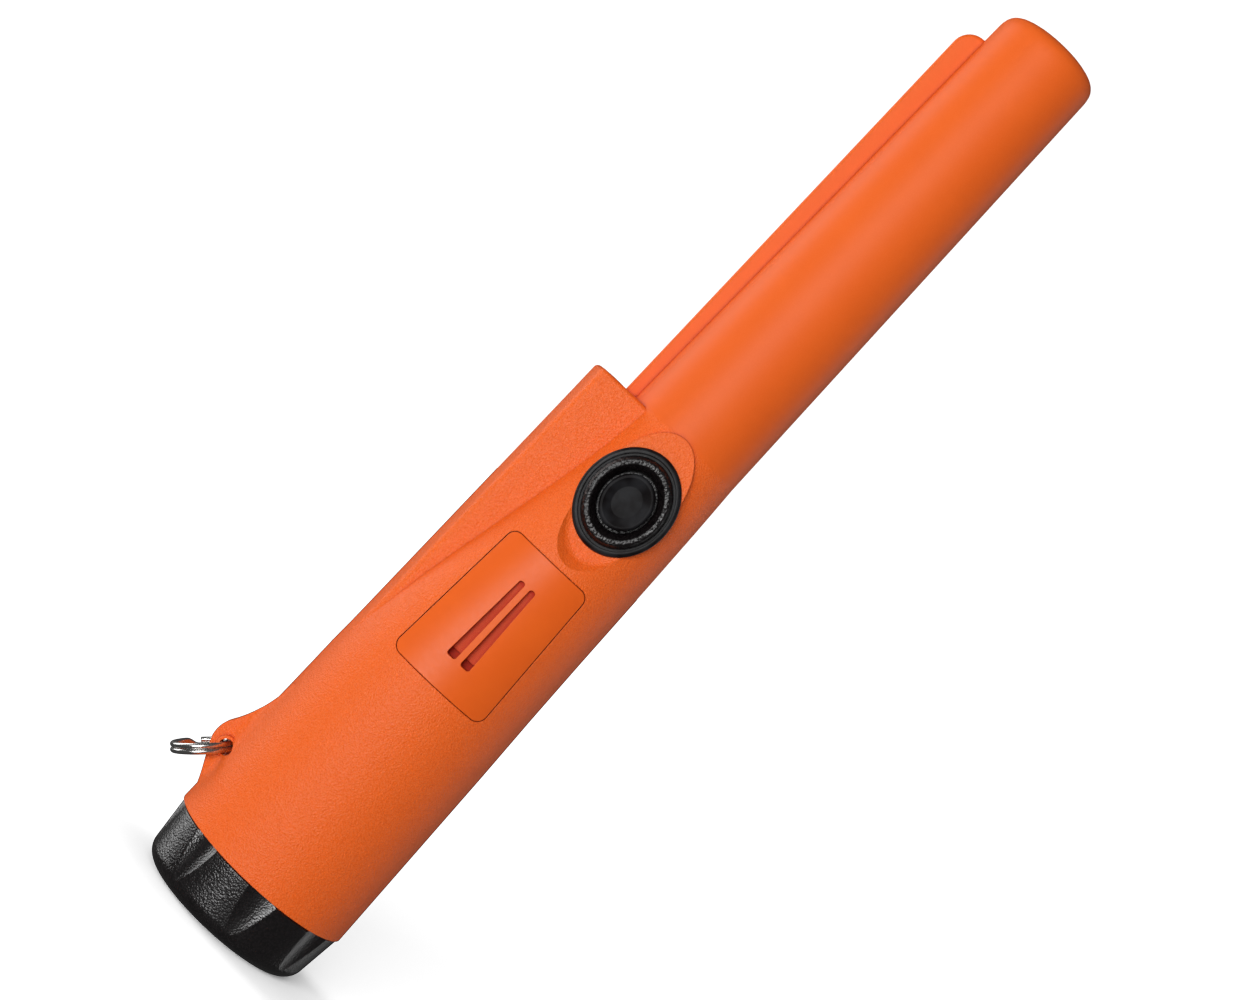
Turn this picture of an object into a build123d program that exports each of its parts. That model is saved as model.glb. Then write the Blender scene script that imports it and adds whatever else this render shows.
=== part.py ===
from build123d import *
from math import cos, radians, sin
import os

os.makedirs("parts", exist_ok=True)

# Pinpointer probe: a hand-held metal-detecting wand, standing on its battery cap.
# Frame, in mm: origin at the centre of the cap's flat end, +Z along the wand to the
# tip, -Y the face with the button and the speaker, -X the side with the scraping
# blade, the light and the lanyard lug.

# Overall heights
TIP_Z = 229.0            # end of the sensing tip
RIM_Z = 12.3             # rim of the housing, where the cap starts
WAIST_Z = 57.0           # below this the grip is nearly straight
STEP_Z = 125.6           # where grip and ridge end and the bare shaft starts
WALL = 2.2               # moulded wall of the housing

# Grip and shaft circles
RIM_R = 20.1
WAIST_X = -0.8
WAIST_R = 19.17
SHAFT_X = 2.9            # the shaft stands off the cap's axis, away from the ridge
SHAFT_R = 12.76          # at the step
TIP_R = 11.02            # at the tip
TIP_ROUND = 5.2
GRIP_STATIONS = 17

# Ridge along the -X side, with the light in its upper end
RIDGE_R_LOW = 19.95
RIDGE_R_TOP = 19.62
RIDGE_LOW_Z = 40.0
RIDGE_HALF = 8.7
RIDGE_ROUND = 1.8
RIDGE_TOP_ROUND = 0.9

# Scraping blade on the shaft
BLADE_X = -12.3
BLADE_TOP_Z = 220.6
BLADE_HALF = 1.4
BLADE_CORNER = 4.0
BLADE_EDGE = 0.8

# Lanyard lug and split ring
LUG_X = -20.65           # hole centre
LUG_Z = 24.6
LUG_HOLE_R = 1.55
LUG_NOSE_X = -24.3
LUG_HALF = 2.4           # tab half thickness beside the hole
LUG_ROOT_HALF = 6.4
COLLAR_R = 2.15          # raised rim of the hole
COLLAR_HALF = 3.4
RING_R = 5.6             # to the middle of the wire
RING_SHIFT = 0.75        # from the hole's middle to the wire that lies against its wall
WIRE_R = 0.52
COIL_STEP = 1.08         # between the two coils
RING_HANG = 44.0         # degrees below -X in which the ring hangs
RING_LEAN = -1.0         # degrees the ring leans in its loose hole
RING_OPEN = 18.0         # degrees from the crossover to each wire end
RING_CROSS = 14.0        # half the crossover

# Button and its pad
BUTTON_X = 2.65
BUTTON_Z = 110.2
OVAL = 1.17              # length to width of every oval round the button
PAD_Y = -13.1
PAD_Z = 111.2
PAD_HALF_X = 8.2
PAD_HALF_Z = 14.9
PAD_WALL = 2.0
BOOT_R = 9.4
BOOT_GROOVE_R = 8.35
BOOT_CREST_R = 7.35
BOOT_MOUTH_R = 5.3
BOOT_SKIRT_R = 5.95
KEY_R = 4.9
DISH_R = 2.7             # flat middle of the key's dish
KEY_STEM_R = 2.0

# Speaker cover in the front of the grip
COVER_X = 0.2
COVER_LOW_Z = 61.5
COVER_TOP_Z = 92.55
COVER_LOW_HALF = 10.9
COVER_TOP_HALF = 9.36
COVER_CORNER = 1.9
COVER_GAP = 0.16
COVER_SKIN = 1.0         # thickness where it lies on its ledge
COVER_DEPTH = 2.6        # thickness of its inner block
COVER_LEDGE = 2.2
SLOT_LOW_Z = 67.5
SLOT_TOP_Z = 86.5
SLOT_INNER = 0.63        # from the middle of the cover to each slot's inner edge
SLOT_LOW_OUTER = 2.75
SLOT_TOP_OUTER = 1.93
SLOT_ROUND = 0.55
SLOT_FLOOR_TOP_Y = -15.5
SLOT_FLOOR_LOW_Y = -16.2
PORT_TOP_Z = 69.0        # below this the slots go right through

# Battery cap with its screw plug
CAP_TOP_Z = 12.15
CAP_R = 19.75
CAP_LOW_R = 18.4
CAP_ROUND = 3.4
CAP_FLUTES = 8
FLUTE_ANGLE = -78.5      # polar angle of one flute
FLUTE_R = 7.5
FLUTE_DEPTH = 1.1
NECK_R = 16.55
NECK_TOP_Z = 14.2
PLUG_TOP_Z = 24.0
PLUG_HOLLOW_R = 13.2
LEAD = 4.0               # one turn of the cap moves it this far
PLUG_ROOT_R = 15.9
PLUG_CREST_R = 16.9
NUT_CREST_R = 16.3
NUT_ROOT_R = 17.3
NUT_END_Z = 25.5
SEAL_SEAT_R = 18.7
SEAL_SEAT_Z = 14.4
SEAL_WIRE_R = 0.88

# 9 V battery
BATTERY_LONG = 26.5
BATTERY_SHORT = 17.5
BATTERY_TALL = 46.0
BATTERY_CORNER = 2.2
BATTERY_LOW_Z = 25.05
STUD_X = 6.35
STUD_TALL = 2.45

# Electronics
PLATE_LOW_Z = 76.0       # battery contact plate
PLATE_THICK = 1.6
BOARD_X = 2.6
BOARD_Y = -5.0           # component side
BOARD_THICK = 1.6
BOARD_HALF = 8.2
BOARD_LOW_Z = 78.5
BOARD_TOP_Z = 136.5
SLED_HALF = 7.2
SLED_THICK = 1.5
SLED_TOP_Z = 138.5
SWITCH_TALL = 3.5
SPEAKER_R = 6.0
SPEAKER_Z = 80.0
SPEAKER_FRONT_Y = -12.5
SPEAKER_BACK_Y = -9.6
LED_X = -14.9
LED_R = 1.5
LENS_R = 2.2
MOTOR_Y = 2.2
MOTOR_R = 3.0
MOTOR_LOW_Z = 92.0
MOTOR_TOP_Z = 104.0
WEIGHT_R = 3.5
LEAD_WIRE_R = 0.35

# Sensing coil
ROD_R = 5.0
ROD_LOW_Z = 140.6
ROD_TOP_Z = 222.0
BOBBIN_LOW_Z = 149.3
BOBBIN_TOP_Z = 216.0
BOBBIN_R = 5.9
FLANGE_R = 7.8
FLANGE_THICK = 1.3


def ease(t):
    """Smooth step from 0 to 1."""
    return t * t * (3 - 2 * t)


def grip_circle(z):
    """Centre x and radius of the grip's outer circle at height z."""
    if z <= WAIST_Z:
        t = (z - RIM_Z) / (WAIST_Z - RIM_Z)
        return WAIST_X * t, RIM_R + (WAIST_R - RIM_R) * t
    t = (z - WAIST_Z) / (STEP_Z - WAIST_Z)
    x = WAIST_X + (SHAFT_X - WAIST_X) * ease(t)
    r = WAIST_R + (SHAFT_R - WAIST_R) * (0.6 * t + 0.4 * ease(t))
    return x, r


def grip_form(inset, low_z, top_z):
    """The grip's tapering body, drawn in by inset."""
    circles = []
    for i in range(GRIP_STATIONS):
        z = low_z + (top_z - low_z) * i / (GRIP_STATIONS - 1)
        x, r = grip_circle(z)
        circles.append(Pos(x, 0, z) * Circle(r - inset))
    return loft(circles)


def shaft_form(inset):
    """The shaft from the step to the softly domed tip, drawn in by inset."""
    top = TIP_Z - inset
    edge = TIP_R - inset
    depth = TIP_ROUND - inset
    shoulder = (edge, top - depth)
    side = Polyline((0, top), (0, STEP_Z), (SHAFT_R - inset, STEP_Z), shoulder)
    dome = Bezier(shoulder, (edge, top - 0.2 * depth), (edge - 0.15 * depth, top), (0, top))
    profile = make_face([side, dome])
    return Pos(SHAFT_X, 0, 0) * revolve(Plane.XZ * profile, Axis.Z)


def drum(x, y, low_z, top_z, r):
    """Upright cylinder between two heights."""
    return Pos(x, y, (low_z + top_z) / 2) * Cylinder(r, top_z - low_z)


def block(x_from, x_to, y_from, y_to, z_from, z_to):
    """Box between limits."""
    size = (x_to - x_from, y_to - y_from, z_to - z_from)
    centre = ((x_from + x_to) / 2, (y_from + y_to) / 2, (z_from + z_to) / 2)
    return Pos(*centre) * Box(*size)


def front_prism(face, y_from, y_to):
    """Extrude a face drawn in x and z between two depths y."""
    return extrude(Plane.XZ.offset(-y_to) * face, y_to - y_from)


def wire_run(points, radius, bend):
    """Round wire through points, with tangent bends."""
    path = FilletPolyline(*points, radius=bend)
    end = Plane(origin=path @ 0, z_dir=path % 0)
    return sweep(end * Circle(radius), path=path)


def helical_tooth(base_r, crest_r, base_half, crest_half, low_z, turns, angle):
    """Trapezoid tooth wound round Z from a base radius to a crest radius."""
    path = Pos(0, 0, low_z) * Helix(pitch=LEAD, height=turns * LEAD, radius=base_r)
    start = Plane(origin=(0, 0, low_z), x_dir=(1, 0, 0), z_dir=(0, -1, 0))
    corners = [(base_r, -base_half), (crest_r, -crest_half), (crest_r, crest_half), (base_r, base_half)]
    tooth = make_face(Polyline(*corners, close=True))
    return Rot(0, 0, angle) * sweep(start * tooth, path=path, is_frenet=True)


def ridge():
    """Flat-sided ridge down the -X side of the grip."""
    tall = STEP_Z - RIDGE_LOW_Z
    cone = Pos(0, 0, RIDGE_LOW_Z + tall / 2) * Cone(RIDGE_R_LOW, RIDGE_R_TOP, tall)
    body = cone & block(-30, 0, -RIDGE_HALF, RIDGE_HALF, RIDGE_LOW_Z, STEP_Z)
    corners = [e for e in body.edges() if e.center().X < -15 and e.length > tall - 1]
    body = fillet(corners, RIDGE_ROUND)
    top = [e for e in body.edges() if e.center().Z > STEP_Z - 0.01 and e.center().X < -2]
    return fillet(top, RIDGE_TOP_ROUND)


def blade():
    """Thin scraping blade standing on the shaft."""
    outline = Polyline(
        (SHAFT_X, STEP_Z - 4),
        (BLADE_X, STEP_Z - 4),
        (BLADE_X - 0.1, BLADE_TOP_Z),
        (SHAFT_X, BLADE_TOP_Z),
        close=True,
    )
    profile = make_face(outline)
    corner = profile.vertices().sort_by_distance((BLADE_X, BLADE_TOP_Z))[0]
    profile = fillet(corner, BLADE_CORNER)
    body = front_prism(profile, -BLADE_HALF, BLADE_HALF)
    rim = [e for e in body.edges() if abs(abs(e.center().Y) - BLADE_HALF) < 0.01]
    rim = [e for e in rim if e.center().X < SHAFT_X - 0.01 and e.center().Z > STEP_Z]
    return fillet(rim, BLADE_EDGE)


def lug():
    """Lanyard lug: a rounded tab that flares into the grip, with a rim round its hole."""
    upper = Spline(
        (-19.4, 42.5),
        (-20.9, 34.4),
        (-23.1, 29.3),
        (LUG_NOSE_X, 25.8),
        tangents=[(-0.05, -1), (0, -1)],
    )
    nose = Spline((LUG_NOSE_X, 25.8), (-23.4, 22.6), tangents=[(0, -1), (0.48, -0.88)])
    lower = Line((-23.4, 22.6), (-19.5, 15.45))
    inner = Polyline((-19.5, 15.45), (-12, 15.45), (-12, 42.5), (-19.4, 42.5))
    side = front_prism(make_face([upper, nose, lower, inner]), -LUG_ROOT_HALF, LUG_ROOT_HALF)
    flare = []
    for way in (1, -1):
        tip = (LUG_NOSE_X - 1, way * (LUG_HALF - 0.9))
        bend = (-21.6, way * LUG_HALF)
        root = (-18.8, way * LUG_ROOT_HALF)
        curve = Spline(bend, root, tangents=[(1, way * 0.23), (1, way)])
        flare += [Line(tip, bend), curve, Line(root, (-12, way * LUG_ROOT_HALF))]
    flare.append(Line((LUG_NOSE_X - 1, LUG_HALF - 0.9), (LUG_NOSE_X - 1, 0.9 - LUG_HALF)))
    flare.append(Line((-12, LUG_ROOT_HALF), (-12, -LUG_ROOT_HALF)))
    plan = Pos(0, 0, 10) * extrude(make_face(flare), 40)
    collar = Rot(90, 0, 0) * Cylinder(COLLAR_R, 2 * COLLAR_HALF)
    collar = fillet(collar.edges().filter_by(GeomType.CIRCLE), 0.4)
    return (side & plan) + Pos(LUG_X, 0, LUG_Z) * collar


def pad_outline(grow):
    """Oval of the button pad, enlarged by grow."""
    return Pos(BUTTON_X, PAD_Z) * Ellipse(PAD_HALF_X + grow, PAD_HALF_Z + grow)


def pad_recess():
    """Clears the grip in front of the pad, with a sloping wall and a soft corner."""
    clear = extrude(Plane.XZ.offset(-PAD_Y) * pad_outline(0), 8, taper=-42)
    return fillet(clear.edges().sort_by(Axis.Y)[-1], 1.2)


def cavity():
    """Room inside the grip and the shaft, kept back behind the pad."""
    room = grip_form(WALL, NUT_END_Z, STEP_Z) + shaft_form(WALL)
    return room - front_prism(pad_outline(PAD_WALL), -20, PAD_Y + PAD_WALL)


def cover_outline(inset):
    """Speaker cover seen from the front, drawn in by inset."""
    outline = Polyline(
        (-COVER_LOW_HALF, COVER_LOW_Z),
        (COVER_LOW_HALF, COVER_LOW_Z),
        (COVER_TOP_HALF, COVER_TOP_Z),
        (-COVER_TOP_HALF, COVER_TOP_Z),
        close=True,
    )
    face = make_face(outline)
    face = fillet(face.vertices(), COVER_CORNER)
    return Pos(COVER_X, 0) * offset(face, -inset)


def lens_hole(r):
    """Bore for the light through the end of the ridge."""
    return drum(LED_X, 0, STEP_Z - 8, STEP_Z + 1, r)


def housing():
    """One-piece moulded housing: grip, ridge, shaft, blade, pad and lug."""
    body = grip_form(0, RIM_Z, STEP_Z) + shaft_form(0)
    body += ridge()
    body += blade()
    body += lug()
    body += front_prism(pad_outline(0), PAD_Y, -7)
    body -= pad_recess()
    body -= front_prism(cover_outline(-COVER_GAP), -25, -5) - grip_form(COVER_SKIN + 0.1, 60, 96)
    body -= front_prism(cover_outline(COVER_LEDGE), -25, -5)
    body -= cavity()
    pocket = drum(0, 0, 66, STEP_Z - WALL, RIDGE_R_TOP - WALL)
    body -= pocket & block(-20, 0, WALL - RIDGE_HALF, RIDGE_HALF - WALL, 66, STEP_Z - WALL)
    body -= drum(0, 0, RIM_Z - 1, SEAL_SEAT_Z, SEAL_SEAT_R)
    body -= drum(0, 0, SEAL_SEAT_Z, NUT_END_Z, NUT_ROOT_R)
    body -= lens_hole(LENS_R + 0.05)
    hole = Pos(BUTTON_X, BUTTON_Z) * Ellipse(BOOT_SKIRT_R + 0.05, (BOOT_SKIRT_R + 0.05) * OVAL)
    body -= front_prism(hole, -20, -7)
    eye = Pos(LUG_X, 0, LUG_Z) * Rot(90, 0, 0) * Cylinder(LUG_HOLE_R, 30)
    body -= eye
    body += helical_tooth(NUT_ROOT_R + 0.2, NUT_CREST_R, 1.1, 0.75, 16.6, 1.75, 180)
    return body


def oval_turning(profile):
    """Turn a half profile (radius, height) into an oval ring on the pad."""
    ring = revolve(Plane.XZ * profile, Axis.Z)
    ring = scale(ring, by=(1, OVAL, 1))
    return Pos(BUTTON_X, PAD_Y, BUTTON_Z) * Rot(90, 0, 0) * ring


def button_flange():
    """Smooth oval flange of the button."""
    low = 0.02
    high = 0.95
    outline = Polyline(
        (BOOT_SKIRT_R + 0.1, low),
        (BOOT_R, low),
        (BOOT_R, high),
        (BOOT_GROOVE_R, high),
        (BOOT_GROOVE_R, 0.45),
        (BOOT_SKIRT_R + 0.1, 0.45),
        close=True,
    )
    profile = make_face(outline)
    corner = profile.vertices().sort_by_distance((BOOT_R, high))[0]
    profile = fillet(corner, 0.7)
    lip = profile.vertices().sort_by_distance((BOOT_GROOVE_R, high))[0]
    profile = fillet(lip, 0.15)
    return oval_turning(profile)


def button_boot():
    """Textured rubber ring with the skirt and floor that seal the key."""
    outer = BOOT_GROOVE_R - 0.4
    outline = Polyline(
        (outer, 0.5),
        (outer, 1.1),
        (BOOT_CREST_R, 2.3),
        (BOOT_CREST_R - 0.9, 2.3),
        (BOOT_MOUTH_R + 0.2, 0.4),
        (BOOT_MOUTH_R, -0.4),
        (BOOT_MOUTH_R, -1.6),
        (KEY_STEM_R + 0.4, -1.6),
        (KEY_STEM_R + 0.4, -2.1),
        (BOOT_SKIRT_R, -2.1),
        (BOOT_SKIRT_R, 0.5),
        close=True,
    )
    profile = make_face(outline)
    crest = profile.vertices().sort_by_distance((BOOT_CREST_R, 2.3))[0]
    profile = fillet(crest, 0.5)
    shoulder = profile.vertices().sort_by_distance((outer, 1.1))[0]
    profile = fillet(shoulder, 0.4)
    inner = profile.vertices().sort_by_distance((BOOT_CREST_R - 0.9, 2.3))[0]
    profile = fillet(inner, 0.3)
    return oval_turning(profile)


def power_button():
    """Dished key with the stem that reaches the switch."""
    top = 1.35
    dish = 0.55
    head_low = -0.95
    outline = Polyline(
        (0, head_low),
        (KEY_R, head_low),
        (KEY_R, top),
        (KEY_R - 0.7, top),
        (DISH_R, top - dish),
        (0, top - dish),
        close=True,
    )
    profile = make_face(outline)
    rim = profile.vertices().sort_by_distance((KEY_R, top))[0]
    profile = fillet(rim, 0.45)
    head = oval_turning(profile)
    low = -9.65
    high = PAD_Y - head_low - 0.5
    stem = Pos(0, (low + high) / 2, 0) * Rot(90, 0, 0) * Cylinder(KEY_STEM_R, low - high)
    return head + Pos(BUTTON_X, 0, BUTTON_Z) * stem


def speaker_cover():
    """Glossier inset cover with two ramped sound slots."""
    form = grip_form(0.02, 60, 96)
    skin = (front_prism(cover_outline(0), -25, -5) & form) - grip_form(COVER_SKIN, 60, 96)
    core = front_prism(cover_outline(COVER_LEDGE + 0.2), -25, -5)
    core = (core & form) - grip_form(COVER_DEPTH, 60, 96)
    body = skin + core
    ramp = Polyline(
        (-25, SLOT_LOW_Z - 1),
        (-12, SLOT_LOW_Z - 1),
        (-12, PORT_TOP_Z),
        (SLOT_FLOOR_LOW_Y, PORT_TOP_Z),
        (SLOT_FLOOR_TOP_Y, SLOT_TOP_Z + 1),
        (-25, SLOT_TOP_Z + 1),
        close=True,
    )
    wedge = extrude(Plane.YZ * make_face(ramp), 8, both=True)
    for way in (1, -1):
        slot = Polyline(
            (COVER_X + way * SLOT_INNER, SLOT_LOW_Z),
            (COVER_X + way * SLOT_LOW_OUTER, SLOT_LOW_Z),
            (COVER_X + way * SLOT_TOP_OUTER, SLOT_TOP_Z),
            (COVER_X + way * SLOT_INNER, SLOT_TOP_Z),
            close=True,
        )
        face = make_face(slot)
        face = fillet(face.vertices(), SLOT_ROUND)
        body -= front_prism(face, -25, -10) & wedge
    return body


def speaker_membrane():
    """Thin waterproof membrane behind the cover."""
    sheet = grip_form(COVER_DEPTH + 0.05, 60, 96) - grip_form(COVER_DEPTH + 0.3, 60, 96)
    return sheet & front_prism(cover_outline(COVER_LEDGE + 0.7), -25, -5)


def speaker():
    """Round sounder with a stepped magnet cup."""
    centre = Pos(0, 0, SPEAKER_Z)
    front = SPEAKER_FRONT_Y
    back = SPEAKER_BACK_Y
    can = Pos(0, (front + back - 0.9) / 2, 0) * Rot(90, 0, 0) * Cylinder(SPEAKER_R, back - 0.9 - front)
    cup = Pos(0, back - 0.5, 0) * Rot(90, 0, 0) * Cylinder(SPEAKER_R - 2.2, 1.0)
    port = Pos(0, front, 0) * Rot(90, 0, 0) * Cylinder(1.6, 2.4)
    can = fillet(can.edges().filter_by(GeomType.CIRCLE), 0.4)
    return centre * (can + cup - port)


def switch_body():
    """Square tactile switch on the board."""
    half = 3.0
    top = BOARD_Y - SWITCH_TALL
    body = block(BUTTON_X - half, BUTTON_X + half, top, BOARD_Y, BUTTON_Z - half, BUTTON_Z + half)
    body = fillet(body.edges().filter_by(Axis.Y), 0.5)
    well = Pos(BUTTON_X, top, BUTTON_Z) * Rot(90, 0, 0) * Cylinder(1.8, 4.4)
    return body - well


def switch_plunger():
    """Round plunger the key presses."""
    low = -7.3
    high = -9.6
    pin = Rot(90, 0, 0) * Cylinder(1.7, low - high)
    pin = chamfer(pin.edges().filter_by(GeomType.CIRCLE), 0.2)
    return Pos(BUTTON_X, (low + high) / 2, BUTTON_Z) * pin


def screw_spots():
    """Where the board is screwed to the sled."""
    return [(BOARD_X - 5.2, 93.5), (BOARD_X + 5.2, 93.5), (BOARD_X - 5.2, 129.5), (BOARD_X + 5.2, 129.5)]


def main_board():
    """Circuit board along the grip."""
    board = block(
        BOARD_X - BOARD_HALF, BOARD_X + BOARD_HALF,
        BOARD_Y, BOARD_Y + BOARD_THICK,
        BOARD_LOW_Z, BOARD_TOP_Z,
    )
    board = fillet(board.edges().filter_by(Axis.Y), 1.5)
    for x, z in screw_spots():
        board -= Pos(x, BOARD_Y, z) * Rot(90, 0, 0) * Cylinder(1.1, 6)
    return board


def board_screws():
    """Pan-head screws through the board into the sled."""
    screws = []
    for x, z in screw_spots():
        head = Pos(0, BOARD_Y - 0.65, 0) * Rot(90, 0, 0) * Cylinder(1.9, 1.3)
        head = fillet(head.edges().group_by(Axis.Y)[0], 0.6)
        cross = Box(2.2, 0.8, 0.5) + Box(0.5, 0.8, 2.2)
        head -= Pos(0, BOARD_Y - 1.3, 0) * cross
        shank = Pos(0, BOARD_Y + 1.5, 0) * Rot(90, 0, 0) * Cylinder(0.9, 3.0)
        screws.append(Pos(x, 0, z) * (head + shank))
    return Compound(children=screws)


def gull_leads(centre_x, centre_z, half_x, half_z, pitch, count):
    """Rows of gull-wing legs on both x sides of a chip."""
    legs = []
    for way in (1, -1):
        for i in range(count):
            z = centre_z + (i - (count - 1) / 2) * pitch
            inner = centre_x + way * (half_x + 0.02)
            outer = centre_x + way * (half_x + 1.1)
            foot = block(min(inner, outer), max(inner, outer), BOARD_Y - 0.25, BOARD_Y - 0.01, z - 0.2, z + 0.2)
            legs.append(foot)
    return legs


def controller_chip():
    """Controller in a flat square package."""
    body = block(BOARD_X - 3.5, BOARD_X + 3.5, BOARD_Y - 1.5, BOARD_Y - 0.1, 98.0, 105.0)
    return chamfer(body.edges().filter_by(Axis.Y), 0.5)


def amplifier_chip():
    """Small amplifier package above the switch."""
    body = block(BOARD_X - 2.0, BOARD_X + 2.0, BOARD_Y - 1.6, BOARD_Y - 0.1, 117.0, 122.0)
    return chamfer(body.edges().group_by(Axis.Y)[0], 0.25)


def chip_leads():
    """Legs of both chips."""
    legs = gull_leads(BOARD_X, 101.5, 3.5, 3.5, 0.8, 8)
    legs += gull_leads(BOARD_X, 119.5, 2.0, 2.5, 1.27, 4)
    return Compound(children=legs)


def capacitors():
    """Three can capacitors standing on the board."""
    cans = []
    for x, z in ((BOARD_X - 4.1, 124.8), (BOARD_X + 4.1, 124.8), (BOARD_X - 6.45, 101.5)):
        can = Pos(x, BOARD_Y - 1.5, z) * Rot(90, 0, 0) * Cylinder(1.6, 2.9)
        cans.append(fillet(can.edges().group_by(Axis.Y)[0], 0.35))
    return Compound(children=cans)


def sled():
    """Moulded sled that carries board, motor and the foot of the coil."""
    back = BOARD_Y + BOARD_THICK
    floor = back + SLED_THICK
    plate_top = PLATE_LOW_Z + PLATE_THICK
    body = block(BOARD_X - SLED_HALF, BOARD_X + SLED_HALF, back, floor, plate_top, SLED_TOP_Z)
    for way in (1, -1):
        edge = BOARD_X + way * SLED_HALF
        inner = edge - way * 1.3
        body += block(min(edge, inner), max(edge, inner), floor, 3.0, plate_top, SLED_TOP_Z)
    saddle = block(BOARD_X - 3.9, BOARD_X + 3.9, floor, 1.8, 93.5, 102.5)
    body += saddle
    body -= drum(BOARD_X, MOTOR_Y, MOTOR_LOW_Z - 3, MOTOR_TOP_Z, MOTOR_R + 0.02)
    body += drum(SHAFT_X, 0, SLED_TOP_Z, 149.0, 6.6)
    body -= drum(SHAFT_X, 0, ROD_LOW_Z - 0.1, 150.0, ROD_R + 0.05)
    for x, z in screw_spots():
        body -= Pos(x, floor, z) * Rot(90, 0, 0) * Cylinder(0.95, 6)
    return body


def motor_can():
    """Body of the vibration motor."""
    can = drum(BOARD_X, MOTOR_Y, MOTOR_LOW_Z, MOTOR_TOP_Z, MOTOR_R)
    can = fillet(can.edges().filter_by(GeomType.CIRCLE), 0.4)
    return can - drum(BOARD_X, MOTOR_Y, MOTOR_TOP_Z - 3, MOTOR_TOP_Z + 1, 0.55)


def motor_shaft():
    """Steel shaft of the vibration motor."""
    return drum(BOARD_X, MOTOR_Y, MOTOR_TOP_Z - 2.8, 109.4, 0.5)


def motor_weight():
    """Half-round weight that shakes the grip."""
    disc = drum(BOARD_X, MOTOR_Y, 105.0, 109.0, WEIGHT_R)
    disc -= block(BOARD_X - 5, BOARD_X + 5, MOTOR_Y - 5, MOTOR_Y - 0.9, 104, 110)
    hub = drum(BOARD_X, MOTOR_Y, 105.0, 109.0, 1.3)
    return disc + hub - drum(BOARD_X, MOTOR_Y, 104, 110, 0.5)


def contact_plate():
    """Round board that meets the battery."""
    x, r = grip_circle(PLATE_LOW_Z + PLATE_THICK)
    plate = drum(x, 0, PLATE_LOW_Z, PLATE_LOW_Z + PLATE_THICK, r - WALL - 0.5)
    return plate - block(-20, 20, -20, SPEAKER_BACK_Y + 0.4, PLATE_LOW_Z - 1, PLATE_LOW_Z + 3)


def battery_contacts():
    """Two bent leaf contacts under the plate."""
    leaves = []
    for way in (1, -1):
        bend = Polyline(
            (way * (STUD_X + 4.6), PLATE_LOW_Z - 0.17),
            (way * (STUD_X + 2.6), PLATE_LOW_Z - 0.17),
            (way * STUD_X, PLATE_LOW_Z - 2.2),
            (way * (STUD_X - 2.0), PLATE_LOW_Z - 1.4),
        )
        strip = trace(bend, 0.3)
        leaf = extrude(Plane.XZ * strip, 2.0, both=True)
        leaves.append(leaf)
    return Compound(children=leaves)


def battery_leads():
    """Two wires from the contact plate to the board."""
    runs = []
    for side in (-4.2, 4.2):
        x = BOARD_X + side
        points = [
            (x, -7.4, PLATE_LOW_Z + PLATE_THICK),
            (x, -7.4, 84.5),
            (x, BOARD_Y - 0.02, 84.5),
        ]
        runs.append(wire_run(points, LEAD_WIRE_R, 1.9))
    return Compound(children=runs)


def speaker_leads():
    """Two wires from the sounder to the board."""
    runs = []
    for side in (-1.4, 1.4):
        points = [
            (side, SPEAKER_BACK_Y + 0.02, SPEAKER_Z + 3.2),
            (side, -7.5, SPEAKER_Z + 3.2),
            (side, -7.5, 89.0),
            (side, BOARD_Y - 0.02, 89.0),
        ]
        runs.append(wire_run(points, LEAD_WIRE_R, 1.9))
    return Compound(children=runs)


def led_leads():
    """Two wires from the light to the board's edge."""
    edge = BOARD_X - BOARD_HALF - 0.02
    runs = []
    for side in (-0.6, 0.6):
        points = [
            (LED_X, side, 118.0),
            (LED_X, side, 113.6 + side),
            (edge - 3.0, BOARD_Y + 0.8, 109.6 + side),
            (edge, BOARD_Y + 0.8, 109.6 + side),
        ]
        runs.append(wire_run(points, 0.25, 1.6))
    return Compound(children=runs)


def coil_leads():
    """Two wires from the board to the coil former."""
    runs = []
    for side in (-3.2, 3.2):
        x = SHAFT_X + side
        points = [
            (x, BOARD_Y - 0.02, 133.5),
            (x, -7.4, 133.5),
            (x, -7.4, 138.5),
            (x, -6.9, BOBBIN_LOW_Z - 0.02),
        ]
        runs.append(wire_run(points, LEAD_WIRE_R, 1.9))
    return Compound(children=runs)


def led():
    """Round light-emitting diode with its flange."""
    bulb = drum(LED_X, 0, 119.0, 122.6, LED_R) + Pos(LED_X, 0, 122.6) * Sphere(LED_R)
    return bulb + drum(LED_X, 0, 118.0, 119.0, LED_R + 0.35)


def led_lens():
    """Clear plug that holds the light in the end of the ridge."""
    plug = drum(LED_X, 0, 119.1, STEP_Z + 0.25, LENS_R)
    plug = fillet(plug.edges().filter_by(GeomType.CIRCLE).sort_by(Axis.Z)[-1], 0.5)
    flange = drum(LED_X, 0, 121.2, STEP_Z - WALL - 0.05, LENS_R + 0.25)
    well = drum(LED_X, 0, 119.0, 122.7, LED_R + 0.08) + Pos(LED_X, 0, 122.7) * Sphere(LED_R + 0.08)
    return plug + flange - well


def ferrite_rod():
    """Ferrite core of the sensing coil."""
    rod = drum(SHAFT_X, 0, ROD_LOW_Z, ROD_TOP_Z, ROD_R)
    return chamfer(rod.edges().filter_by(GeomType.CIRCLE), 0.4)


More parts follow.
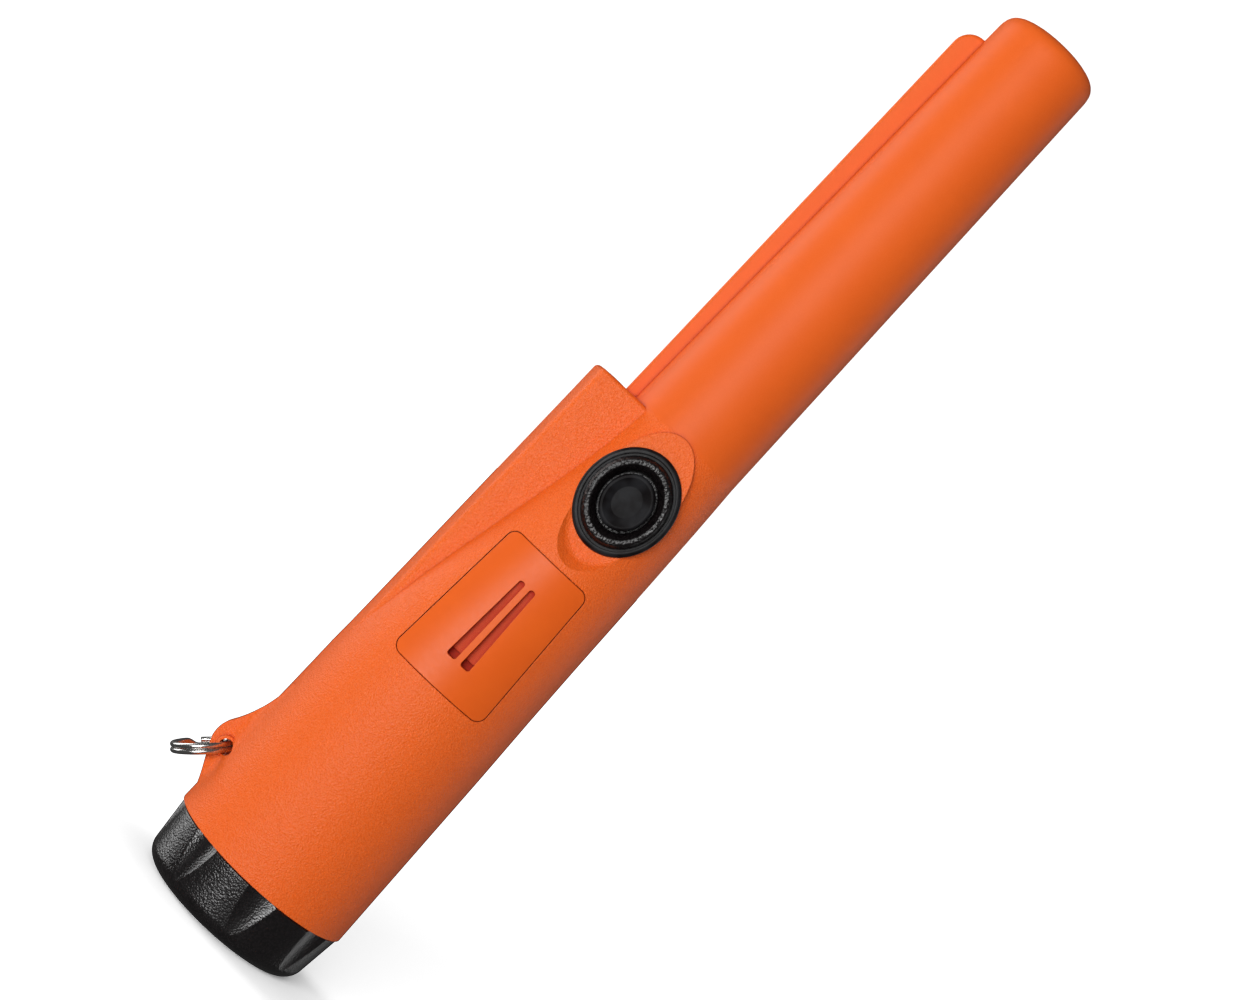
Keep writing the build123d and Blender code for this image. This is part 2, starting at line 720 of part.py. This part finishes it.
def coil_former():
    """Tube with three flanges on which the coils are wound."""
    body = drum(SHAFT_X, 0, BOBBIN_LOW_Z, BOBBIN_TOP_Z, BOBBIN_R)
    middle = (BOBBIN_LOW_Z + BOBBIN_TOP_Z - FLANGE_THICK) / 2
    for z in (BOBBIN_LOW_Z, middle, BOBBIN_TOP_Z - FLANGE_THICK):
        body += drum(SHAFT_X, 0, z, z + FLANGE_THICK, FLANGE_R)
    return body - drum(SHAFT_X, 0, BOBBIN_LOW_Z - 1, BOBBIN_TOP_Z + 1, ROD_R + 0.05)


def winding(low_z, top_z, r):
    """Layered copper winding with rounded turns at its surface."""
    turn = 0.9
    count = int((top_z - low_z) / turn)
    pitch = (top_z - low_z) / count
    coil = drum(SHAFT_X, 0, low_z, top_z, r)
    for i in range(1, count):
        groove = Pos(SHAFT_X, 0, low_z + i * pitch) * Torus(r + 0.1, 0.24)
        coil -= groove
    return coil - drum(SHAFT_X, 0, low_z - 1, top_z + 1, BOBBIN_R + 0.02)


def coil_span(part):
    """Heights of the lower (0) or upper (1) winding space of the former."""
    middle = (BOBBIN_LOW_Z + BOBBIN_TOP_Z - FLANGE_THICK) / 2
    if part == 0:
        return BOBBIN_LOW_Z + FLANGE_THICK + 0.1, middle - 0.1
    return middle + FLANGE_THICK + 0.1, BOBBIN_TOP_Z - FLANGE_THICK - 0.1


def transmit_coil():
    low, top = coil_span(0)
    return winding(low, top, 7.3)


def receive_coil():
    low, top = coil_span(1)
    return winding(low, top, 7.0)


def tip_cushion():
    """Foam cup between the ferrite rod and the tip."""
    cup = drum(SHAFT_X, 0, 216.6, 225.6, 8.5)
    cup = fillet(cup.edges().filter_by(GeomType.CIRCLE).sort_by(Axis.Z)[-1], 2.6)
    return cup - drum(SHAFT_X, 0, 216.0, ROD_TOP_Z + 0.05, ROD_R + 0.05)


def battery():
    """Jacket of the 9 V block battery."""
    top = BATTERY_LOW_Z + BATTERY_TALL
    half_x = BATTERY_LONG / 2
    half_y = BATTERY_SHORT / 2
    body = block(-half_x, half_x, -half_y, half_y, BATTERY_LOW_Z, top)
    body = fillet(body.edges().filter_by(Axis.Z), BATTERY_CORNER)
    rim = body.faces().sort_by(Axis.Z)
    body = fillet(rim[0].edges() + rim[-1].edges(), 0.5)
    tray = block(-half_x + 1.1, half_x - 1.1, -half_y + 1.1, half_y - 1.1, top - 0.5, top + 1)
    return body - fillet(tray.edges().filter_by(Axis.Z), 1.5)


def battery_terminals():
    """Snap studs of the battery: round positive, crowned negative."""
    base = BATTERY_LOW_Z + BATTERY_TALL - 0.48
    top = BATTERY_LOW_Z + BATTERY_TALL + STUD_TALL
    plus = drum(STUD_X, 0, base, top, 2.8)
    plus = fillet(plus.edges().filter_by(GeomType.CIRCLE).sort_by(Axis.Z)[-1], 0.6)
    collar = Pos(STUD_X, 0, (base + 0.8 + top - 0.9) / 2) * Torus(3.15, 0.5)
    crown = Pos(-STUD_X, 0, base) * extrude(RegularPolygon(4.3, 8), top - base)
    crown -= drum(-STUD_X, 0, base + 0.6, top + 1, 3.0)
    for i in range(4):
        slit = Pos(-STUD_X, 0, top) * Rot(0, 0, 45 * i) * Box(12, 0.6, 2.6)
        crown -= slit
    return Compound(children=[plus - collar, crown])


def battery_pad():
    """Foam pad in the cap's plug that presses on the battery."""
    pad = drum(0, 0, 20.2, BATTERY_LOW_Z - 0.02, PLUG_HOLLOW_R - 0.1)
    return chamfer(pad.edges().filter_by(GeomType.CIRCLE), 0.4)


def battery_cap():
    """Fluted cap with its screw plug."""
    outline = Polyline((0, 0), (CAP_LOW_R, 0), (CAP_R, CAP_TOP_Z), (0, CAP_TOP_Z), close=True)
    profile = make_face(outline)
    corner = profile.vertices().sort_by_distance((CAP_LOW_R, 0))[0]
    profile = fillet(corner, CAP_ROUND)
    rim = profile.vertices().sort_by_distance((CAP_R, CAP_TOP_Z))[0]
    profile = chamfer(rim, 0.3)
    body = revolve(Plane.XZ * profile, Axis.Z)
    reach = CAP_R - FLUTE_DEPTH + FLUTE_R
    for i in range(CAP_FLUTES):
        angle = radians(FLUTE_ANGLE + 360 / CAP_FLUTES * i)
        body -= drum(reach * cos(angle), reach * sin(angle), -1, CAP_TOP_Z + 1, FLUTE_R)
    edges = body.edges().filter_by(lambda e: e.length > 7 and e.length < 14)
    edges = edges.filter_by(lambda e: abs(e.bounding_box().size.Z) > 6)
    body = fillet(edges, 0.5)
    body += drum(0, 0, CAP_TOP_Z - 1, NECK_TOP_Z, NECK_R)
    body += drum(0, 0, NECK_TOP_Z - 1, PLUG_TOP_Z, PLUG_ROOT_R)
    body += helical_tooth(PLUG_ROOT_R - 0.2, PLUG_CREST_R, 1.0, 0.45, 16.6, 1.6, 0)
    body -= drum(0, 0, 3.2, PLUG_TOP_Z + 1, PLUG_HOLLOW_R)
    for angle in (0, 60, 120):
        body += Rot(0, 0, angle) * Pos(0, 0, 11.6) * Box(2 * PLUG_HOLLOW_R + 1, 1.6, 17.0)
    return body


def cap_seal():
    """O-ring under the cap's rim."""
    return Pos(0, 0, 13.25) * Torus(NECK_R + SEAL_WIRE_R + 0.03, SEAL_WIRE_R)


def ring_point(angle, lift):
    """Point of the split ring's wire before it is hung in the lug."""
    a = radians(angle)
    return (RING_R * cos(a), RING_R * sin(a), lift)


def split_ring():
    """Two-coil split ring hanging in the lug."""
    half = COIL_STEP / 2
    turn = 360 - RING_OPEN - RING_CROSS
    lower = CenterArc((0, 0, -half), RING_R, RING_OPEN, turn)
    upper = CenterArc((0, 0, half), RING_R, RING_CROSS, turn)
    a_end = radians(-RING_CROSS)
    b_end = radians(RING_CROSS)
    cross = Spline(
        ring_point(-RING_CROSS, -half),
        ring_point(0, 0),
        ring_point(RING_CROSS, half),
        tangents=[(-sin(a_end), cos(a_end), 0), (-sin(b_end), cos(b_end), 0)],
    )
    path = Wire([lower, cross, upper])
    end = Plane(origin=path @ 0, z_dir=path % 0)
    coil = sweep(end * Circle(WIRE_R), path=path)
    hang = Pos(LUG_X, 0, LUG_Z) * Rot(0, 180 - RING_HANG, 0) * Rot(RING_LEAN, 0, 0)
    return hang * Pos(RING_R - RING_SHIFT, 0, 0) * Rot(0, 0, 60) * coil


NODES = {
    "housing": housing,
    "button_flange": button_flange,
    "button_boot": button_boot,
    "power_button": power_button,
    "speaker_cover": speaker_cover,
    "speaker_membrane": speaker_membrane,
    "speaker": speaker,
    "speaker_leads": speaker_leads,
    "switch_body": switch_body,
    "switch_plunger": switch_plunger,
    "main_board": main_board,
    "board_screws": board_screws,
    "controller_chip": controller_chip,
    "amplifier_chip": amplifier_chip,
    "chip_leads": chip_leads,
    "capacitors": capacitors,
    "sled": sled,
    "motor_can": motor_can,
    "motor_shaft": motor_shaft,
    "motor_weight": motor_weight,
    "contact_plate": contact_plate,
    "battery_contacts": battery_contacts,
    "battery_leads": battery_leads,
    "led": led,
    "led_leads": led_leads,
    "led_lens": led_lens,
    "ferrite_rod": ferrite_rod,
    "coil_former": coil_former,
    "transmit_coil": transmit_coil,
    "receive_coil": receive_coil,
    "coil_leads": coil_leads,
    "tip_cushion": tip_cushion,
    "battery": battery,
    "battery_terminals": battery_terminals,
    "battery_pad": battery_pad,
    "battery_cap": battery_cap,
    "cap_seal": cap_seal,
    "split_ring": split_ring,
}

for node, make in NODES.items():
    export_step(make(), f"parts/{node}.step")
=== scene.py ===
import math

import bpy
from mathutils import Matrix, Vector


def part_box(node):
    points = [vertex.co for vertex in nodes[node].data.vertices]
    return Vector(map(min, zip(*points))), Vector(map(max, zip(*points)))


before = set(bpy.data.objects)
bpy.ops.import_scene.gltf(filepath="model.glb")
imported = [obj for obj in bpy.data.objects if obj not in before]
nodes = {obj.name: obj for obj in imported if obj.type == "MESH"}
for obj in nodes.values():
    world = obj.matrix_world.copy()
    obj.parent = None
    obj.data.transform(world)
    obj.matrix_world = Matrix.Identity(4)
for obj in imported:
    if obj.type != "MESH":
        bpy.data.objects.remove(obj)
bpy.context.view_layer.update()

MM = 0.001
STEP_Z = 125.6 * MM          # grained grip below, satin shaft above

# Colours, linear
ORANGE = (0.92, 0.136, 0.0085)
ORANGE_WARM = (0.90, 0.129, 0.0075)
ORANGE_GRAIN = (0.99, 0.143, 0.009)
ORANGE_GLINT = (0.97, 0.185, 0.040)      # painted glints on the tops of the grain
ORANGE_SHADE = (0.50, 0.022, 0.004)      # painted shade in creases and grain pits
BLACK = (0.0040, 0.0027, 0.0030)
BLACK_PALE = (0.0115, 0.0085, 0.0092)
BLACK_SATIN = (0.017, 0.017, 0.019)
STEEL = (0.78, 0.77, 0.75)

# Studio, in metres, watts and world strengths
LIGHT_CENTRE = (0, 0, 0.11)
KEY_PLACE, KEY_SIZE, KEY_POWER = (-0.28, -1.02, 0.08), (0.5, 0.7), 11.2
SIDE_PLACE, SIDE_SIZE, SIDE_POWER = (-0.95, 0.33, 0.12), (0.5, 0.9), 5.5
BACK_PLACE, BACK_SIZE, BACK_POWER = (0.82, 0.57, 0.12), (0.5, 0.9), 1.3
BACKDROP_STRENGTH = 1.15     # what the camera sees
AMBIENT_STRENGTH = 0.23
MIRROR_STRENGTH = 0.06       # what glossy surfaces see
FLOOR_SIZE = 8.0

# Camera, square to the -Y face
CAMERA_DISTANCE = 0.50
CAMERA_X = 2.1 * MM
CAMERA_Z = 110.3 * MM
CAMERA_ROLL = 46.6           # degrees
SENSOR_MM = 36
VIEW_WIDTH = 0.2377          # metres across the picture at the probe


class Graph:
    """A material's node tree around one Principled shader."""

    def __init__(self, name):
        self.material = bpy.data.materials.new(name)
        self.material.use_nodes = True
        self.tree = self.material.node_tree
        self.tree.nodes.clear()
        self.output = self.tree.nodes.new("ShaderNodeOutputMaterial")
        self.shader = self.add("ShaderNodeBsdfPrincipled")
        self.tree.links.new(self.shader.outputs["BSDF"], self.output.inputs["Surface"])
        self.place = self.add("ShaderNodeTexCoord").outputs["Object"]

    def add(self, kind, **settings):
        node = self.tree.nodes.new(kind)
        for key, value in settings.items():
            setattr(node, key, value)
        return node

    def feed(self, socket, value):
        """Link an output or set a plain value."""
        if isinstance(value, bpy.types.NodeSocket):
            self.tree.links.new(value, socket)
        elif isinstance(value, tuple) and len(value) == 3 and socket.type == "RGBA":
            socket.default_value = (*value, 1.0)
        else:
            socket.default_value = value

    def math(self, operation, first, second=0.0, clamp=False):
        node = self.add("ShaderNodeMath", operation=operation, use_clamp=clamp)
        self.feed(node.inputs[0], first)
        self.feed(node.inputs[1], second)
        return node.outputs[0]

    def noise(self, size, detail=3.0, roughness=0.55, stretch=(1.0, 1.0, 1.0)):
        """Noise whose blobs are about size metres across."""
        place = self.place
        if stretch != (1.0, 1.0, 1.0):
            mapping = self.add("ShaderNodeMapping")
            self.feed(mapping.inputs["Vector"], self.place)
            mapping.inputs["Scale"].default_value = stretch
            place = mapping.outputs[0]
        node = self.add("ShaderNodeTexNoise")
        self.feed(node.inputs["Vector"], place)
        node.inputs["Scale"].default_value = 1.0 / size
        node.inputs["Detail"].default_value = detail
        node.inputs["Roughness"].default_value = roughness
        return node.outputs["Fac"]

    def cells(self, size, smooth=0.35):
        """Rounded pebbles about size metres across: 0 at their middles."""
        node = self.add("ShaderNodeTexVoronoi", feature="SMOOTH_F1")
        self.feed(node.inputs["Vector"], self.place)
        node.inputs["Scale"].default_value = 1.0 / size
        node.inputs["Smoothness"].default_value = smooth
        node.inputs["Randomness"].default_value = 1.0
        return node.outputs["Distance"]

    def span(self, value, low, high, to_low=0.0, to_high=1.0):
        node = self.add("ShaderNodeMapRange", interpolation_type="SMOOTHSTEP")
        self.feed(node.inputs["Value"], value)
        node.inputs["From Min"].default_value = low
        node.inputs["From Max"].default_value = high
        node.inputs["To Min"].default_value = to_low
        node.inputs["To Max"].default_value = to_high
        return node.outputs[0]

    def blend(self, share, first, second):
        node = self.add("ShaderNodeMix", data_type="RGBA")
        self.feed(node.inputs["Factor"], share)
        self.feed(node.inputs["A"], first)
        self.feed(node.inputs["B"], second)
        return node.outputs["Result"]

    def bump(self, height, distance, strength=1.0, under=None):
        node = self.add("ShaderNodeBump")
        self.feed(node.inputs["Height"], height)
        node.inputs["Distance"].default_value = distance
        node.inputs["Strength"].default_value = strength
        if under is not None:
            self.feed(node.inputs["Normal"], under)
        return node.outputs["Normal"]

    def bevel(self, radius):
        """Normal that rounds the edges by a radius."""
        node = self.add("ShaderNodeBevel", samples=4)
        node.inputs["Radius"].default_value = radius
        return node.outputs["Normal"]

    def creases(self, reach):
        """1 on open surface, towards 0 in corners narrower than reach."""
        node = self.add("ShaderNodeAmbientOcclusion", samples=6, only_local=True)
        node.inputs["Distance"].default_value = reach
        return node.outputs["AO"]

    def axis(self, letter):
        node = self.add("ShaderNodeSeparateXYZ")
        self.feed(node.inputs[0], self.place)
        return node.outputs[letter]

    def finish(self, color, roughness, normal=None, **plain):
        self.feed(self.shader.inputs["Base Color"], color)
        self.feed(self.shader.inputs["Roughness"], roughness)
        if normal is not None:
            self.feed(self.shader.inputs["Normal"], normal)
        for key, value in plain.items():
            self.shader.inputs[key.replace("_", " ")].default_value = value
        return self.material


def grip_orange():
    """Moulded orange: pebble grain on the grip, satin above the step, with painted glints on the
    grain tops and painted shade in its pits and creases.
    """
    g = Graph("orange_grip_plastic")
    grip = g.span(g.axis("Z"), STEP_Z + 0.5 * MM, STEP_Z - 0.5 * MM)
    pebbles = g.cells(0.36 * MM)
    fine = g.noise(0.24 * MM, 1.0)
    cloud = g.noise(24 * MM, 2.0)
    crease_shade = g.creases(0.9 * MM)
    height = g.math("ADD", pebbles, g.math("MULTIPLY", fine, 0.5))
    grain = g.math("MULTIPLY", height, grip)
    tone = g.blend(g.span(cloud, 0.35, 0.65), ORANGE, ORANGE_WARM)
    tone = g.blend(grip, tone, ORANGE_GRAIN)
    glint = g.math("ADD", g.math("MULTIPLY", grip, 0.50), 0.12)
    # painted glints: paler specks on the grain tops, strongest on the grip
    painted_glint = g.math("MULTIPLY", g.span(fine, 0.46, 0.60), glint)
    color = g.blend(painted_glint, tone, ORANGE_GLINT)
    # painted shade in the grain pits
    pit_shade = g.math("MULTIPLY", g.span(fine, 0.47, 0.36), g.math("MULTIPLY", grip, 0.14))
    color = g.blend(pit_shade, color, ORANGE_SHADE)
    # painted shade darkening creases and corners
    color = g.blend(g.span(crease_shade, 0.35, 0.95), ORANGE_SHADE, color)
    satin_rough = g.span(fine, 0.3, 0.7, 0.50, 0.57)
    rough = g.math("ADD", g.math("MULTIPLY", grip, -0.08), satin_rough)
    satin = g.bump(g.noise(0.45 * MM, 3.0), 0.015 * MM, 0.5, g.bevel(0.25 * MM))
    normal = g.bump(grain, 0.11 * MM, 1.0, satin)
    return g.finish(color, rough, normal, Specular_IOR_Level=0.32, IOR=1.5)


def cover_orange():
    """Smoother, glossier orange of the speaker cover, with painted shade in its creases."""
    g = Graph("orange_cover_plastic")
    cloud = g.noise(9 * MM, 2.0)
    fine = g.noise(0.5 * MM, 2.0)
    crease_shade = g.creases(2.0 * MM)
    color = g.blend(g.span(cloud, 0.35, 0.65), ORANGE, ORANGE_WARM)
    # painted shade darkening creases and corners
    color = g.blend(g.span(crease_shade, 0.45, 0.97), ORANGE_SHADE, color)
    crease_rough = g.span(crease_shade, 0.25, 0.9, 0.35, 0.0)
    rough = g.math("ADD", crease_rough, g.span(fine, 0.3, 0.7, 0.40, 0.48))
    normal = g.bump(fine, 0.015 * MM, 0.4, g.bevel(0.2 * MM))
    return g.finish(color, rough, normal, Specular_IOR_Level=0.30, IOR=1.5)


def black_pebble(name, size, depth, rough_low, rough_high, shine):
    """Black moulded rubber with rounded pebbles of a size and depth in metres."""
    g = Graph(name)
    pebbles = g.cells(size, 0.5)
    fine = g.noise(size * 0.4, 2.0)
    color = g.blend(g.span(pebbles, 0.2, 0.7), BLACK_PALE, BLACK)
    height = g.math("SUBTRACT", g.math("MULTIPLY", fine, 0.25), pebbles)
    normal = g.bump(height, depth, 1.0, g.bevel(0.25 * MM))
    rough = g.span(g.noise(6 * MM, 2.0), 0.35, 0.65, rough_low, rough_high)
    return g.finish(color, rough, normal, Specular_IOR_Level=shine, IOR=1.52)


def black_smooth(name, rough_low, rough_high, shine=0.4):
    """Smooth black plastic with faint unevenness."""
    g = Graph(name)
    fine = g.noise(0.35 * MM, 3.0)
    color = g.blend(g.span(g.noise(5 * MM, 2.0), 0.35, 0.65), BLACK, BLACK_SATIN)
    normal = g.bump(fine, 0.012 * MM, 0.5)
    rough = g.span(fine, 0.3, 0.7, rough_low, rough_high)
    return g.finish(color, rough, normal, Specular_IOR_Level=shine, IOR=1.5)


def metal(name, tint, rough_low, rough_high, line=(1.0, 1.0, 1.0)):
    """Metal with fine drawn marks."""
    g = Graph(name)
    marks = g.noise(0.25 * MM, 4.0, 0.6, line)
    color = g.blend(g.span(marks, 0.3, 0.7), tint, tuple(0.82 * c for c in tint))
    normal = g.bump(marks, 0.01 * MM, 0.5)
    rough = g.span(marks, 0.3, 0.7, rough_low, rough_high)
    return g.finish(color, rough, normal, Metallic=1.0)


def matte(name, tint, shade, size, rough=0.55, depth=0.02):
    """Plain moulded or coated part: grain of a size in metres and a depth in mm."""
    g = Graph(name)
    grain = g.noise(size, 4.0)
    color = g.blend(g.span(grain, 0.3, 0.7), tint, shade)
    normal = g.bump(grain, depth * MM, 0.5)
    return g.finish(color, g.span(grain, 0.3, 0.7, rough - 0.05, rough + 0.07), normal)


def clear(name, tint, rough):
    """Clear moulded resin with slight ripple."""
    g = Graph(name)
    ripple = g.noise(0.8 * MM, 2.0)
    normal = g.bump(ripple, 0.02 * MM, 0.4)
    color = g.blend(g.span(ripple, 0.3, 0.7), tint, tuple(0.94 * c for c in tint))
    sheen = g.span(ripple, 0.3, 0.7, rough, rough + 0.05)
    return g.finish(color, sheen, normal, Transmission_Weight=0.85, IOR=1.49)


def board_green():
    """Green solder mask with faint copper tracks."""
    g = Graph("board_laminate")
    tracks = g.add("ShaderNodeTexBrick", offset=0.5)
    g.feed(tracks.inputs["Vector"], g.place)
    tracks.inputs["Scale"].default_value = 420.0
    tracks.inputs["Mortar Size"].default_value = 0.03
    mask = g.noise(3 * MM, 3.0)
    green = g.blend(g.span(mask, 0.35, 0.65), (0.010, 0.115, 0.040), (0.014, 0.150, 0.055))
    color = g.blend(g.math("MULTIPLY", tracks.outputs["Fac"], 0.5), green, (0.020, 0.21, 0.08))
    normal = g.bump(tracks.outputs["Fac"], 0.03 * MM, 0.4)
    return g.finish(color, g.span(mask, 0.35, 0.65, 0.28, 0.38), normal)


def jacket_paint():
    """Printed battery jacket: dark body with a coppery top band."""
    g = Graph("battery_jacket")
    low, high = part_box("battery")
    band = g.span(g.axis("Z"), high.z - 13 * MM, high.z - 12.8 * MM)
    brush = g.noise(0.3 * MM, 3.0, 0.5, (1.0, 1.0, 0.1))
    dark = g.blend(g.span(brush, 0.3, 0.7), (0.018, 0.020, 0.024), (0.026, 0.028, 0.033))
    color = g.blend(band, dark, (0.45, 0.24, 0.10))
    normal = g.bump(brush, 0.01 * MM, 0.4)
    return g.finish(color, g.span(brush, 0.3, 0.7, 0.26, 0.36), normal, Metallic=0.6)


tinned = metal("tinned_metal", (0.70, 0.69, 0.66), 0.25, 0.38)
motor_steel = metal("motor_steel", (0.50, 0.50, 0.51), 0.22, 0.34, (1.0, 1.0, 0.1))
copper = metal("enamelled_wire", (0.66, 0.24, 0.10), 0.25, 0.40, (1.0, 1.0, 4.0))
resin = matte("chip_resin", (0.016, 0.016, 0.017), (0.028, 0.028, 0.029), 0.2 * MM, 0.6)
lead_skin = matte("lead_insulation", (0.30, 0.012, 0.010), (0.38, 0.020, 0.014), 0.4 * MM, 0.45)
foam = matte("foam", (0.020, 0.020, 0.022), (0.050, 0.050, 0.052), 0.35 * MM, 0.9, 0.15)
laminate = board_green()

FINISHES = {
    "housing": grip_orange(),
    "speaker_cover": cover_orange(),
    "button_flange": black_smooth("black_flange_plastic", 0.40, 0.48, 0.25),
    "button_boot": black_pebble("black_boot_rubber", 0.46 * MM, 0.11 * MM, 0.30, 0.37, 0.5),
    "power_button": black_smooth("black_key_plastic", 0.40, 0.48, 0.10),
    "battery_cap": black_pebble("black_cap_rubber", 0.40 * MM, 0.055 * MM, 0.29, 0.36, 0.9),
    "cap_seal": black_smooth("seal_rubber", 0.35, 0.45),
    "split_ring": metal("ring_steel", STEEL, 0.22, 0.34),
    # the membrane's dark red is painted shade of the speaker slots, laid on a real membrane
    "speaker_membrane": matte(
        "membrane_film", (0.36, 0.016, 0.003), (0.44, 0.024, 0.004), 0.3 * MM, 0.85, 0.05
    ),
    "speaker": metal("speaker_can", (0.55, 0.55, 0.56), 0.30, 0.42),
    "speaker_leads": lead_skin,
    "battery_leads": lead_skin,
    "coil_leads": lead_skin,
    "switch_body": matte("switch_plastic", (0.020, 0.020, 0.020), (0.034, 0.034, 0.034), 0.3 * MM),
    "switch_plunger": matte("plunger_plastic", (0.42, 0.41, 0.38), (0.52, 0.51, 0.47), 0.3 * MM),
    "main_board": laminate,
    "contact_plate": laminate,
    "board_screws": metal("screw_steel", (0.58, 0.57, 0.54), 0.25, 0.35),
    "controller_chip": resin,
    "amplifier_chip": resin,
    "chip_leads": tinned,
    "led_leads": tinned,
    "capacitors": metal("capacitor_can", (0.72, 0.72, 0.73), 0.22, 0.32),
    "sled": matte("sled_plastic", (0.40, 0.40, 0.38), (0.48, 0.48, 0.46), 0.8 * MM, 0.5),
    "motor_can": motor_steel,
    "motor_shaft": motor_steel,
    "motor_weight": metal("weight_metal", (0.30, 0.30, 0.31), 0.40, 0.55),
    "battery_contacts": metal("contact_spring", (0.80, 0.60, 0.28), 0.20, 0.32),
    "led": clear("led_resin", (0.95, 0.95, 0.90), 0.08),
    "led_lens": clear("lens_plastic", (0.94, 0.95, 0.97), 0.12),
    "ferrite_rod": matte("ferrite", (0.018, 0.018, 0.019), (0.040, 0.040, 0.042), 0.5 * MM, 0.5),
    "coil_former": matte("former_plastic", (0.55, 0.50, 0.38), (0.64, 0.59, 0.46), 0.8 * MM, 0.45),
    "transmit_coil": copper,
    "receive_coil": copper,
    "tip_cushion": foam,
    "battery_pad": foam,
    "battery": jacket_paint(),
    "battery_terminals": metal("terminal_steel", (0.70, 0.68, 0.62), 0.18, 0.30),
}

for name, finish in FINISHES.items():
    mesh = nodes[name].data
    mesh.materials.clear()
    mesh.materials.append(finish)


def area_light(name, place, size, power):
    """Rectangular soft box facing the probe's middle."""
    lamp = bpy.data.lights.new(name, "AREA")
    lamp.shape = "RECTANGLE"
    lamp.size, lamp.size_y = size
    lamp.energy = power
    holder = bpy.data.objects.new(name, lamp)
    holder.location = place
    aim = Vector(LIGHT_CENTRE) - Vector(place)
    holder.rotation_euler = aim.to_track_quat("-Z", "Y").to_euler()
    bpy.context.scene.collection.objects.link(holder)


def pale_floor():
    """Shadow-catching floor that glossy surfaces don't mirror."""
    bpy.ops.mesh.primitive_plane_add(size=FLOOR_SIZE, location=(0, 0, 0))
    floor = bpy.context.object
    floor.name = "floor"
    g = Graph("pale_floor")
    grain = g.noise(4 * MM, 2.0)
    color = g.blend(g.span(grain, 0.3, 0.7), (0.93, 0.93, 0.93), (0.96, 0.96, 0.96))
    floor.data.materials.append(g.finish(color, 0.9))
    floor.is_shadow_catcher = True
    floor.visible_glossy = False


def white_surround():
    """White world: bright to the camera, soft on matt and dim in glossy surfaces."""
    world = bpy.data.worlds.new("white_surround")
    world.use_nodes = True
    tree = world.node_tree
    tree.nodes.clear()

    def background(strength):
        node = tree.nodes.new("ShaderNodeBackground")
        node.inputs["Color"].default_value = (1.0, 1.0, 1.0, 1.0)
        node.inputs["Strength"].default_value = strength
        return node.outputs[0]

    def choose(switch, off, on):
        node = tree.nodes.new("ShaderNodeMixShader")
        for socket, source in zip(node.inputs, (switch, off, on)):
            tree.links.new(source, socket)
        return node.outputs[0]

    ray = tree.nodes.new("ShaderNodeLightPath").outputs
    unseen = choose(
        ray["Is Glossy Ray"], background(AMBIENT_STRENGTH), background(MIRROR_STRENGTH)
    )
    light = choose(ray["Is Camera Ray"], unseen, background(BACKDROP_STRENGTH))
    out = tree.nodes.new("ShaderNodeOutputWorld")
    tree.links.new(light, out.inputs["Surface"])
    bpy.context.scene.world = world


def studio():
    """Pale floor, white surround and soft boxes, brightest from the blade's side."""
    pale_floor()
    white_surround()
    area_light("key_box", KEY_PLACE, KEY_SIZE, KEY_POWER)
    area_light("side_box", SIDE_PLACE, SIDE_SIZE, SIDE_POWER)
    area_light("back_box", BACK_PLACE, BACK_SIZE, BACK_POWER)


def camera():
    """Camera square to the probe, rolled so that the tip points up and right."""
    tilt = math.radians(CAMERA_ROLL)
    data = bpy.data.cameras.new("camera")
    data.lens = SENSOR_MM * CAMERA_DISTANCE / VIEW_WIDTH
    data.clip_start = 0.01
    holder = bpy.data.objects.new("camera", data)
    c, s = math.cos(tilt), math.sin(tilt)
    turn = Matrix(((s, -c, 0), (0, 0, -1), (c, s, 0))).to_4x4()
    place = Matrix.Translation((CAMERA_X, -CAMERA_DISTANCE, CAMERA_Z))
    holder.matrix_world = place @ turn
    bpy.context.scene.collection.objects.link(holder)
    bpy.context.scene.camera = holder


studio()
camera()
bpy.context.scene.view_settings.view_transform = "Standard"
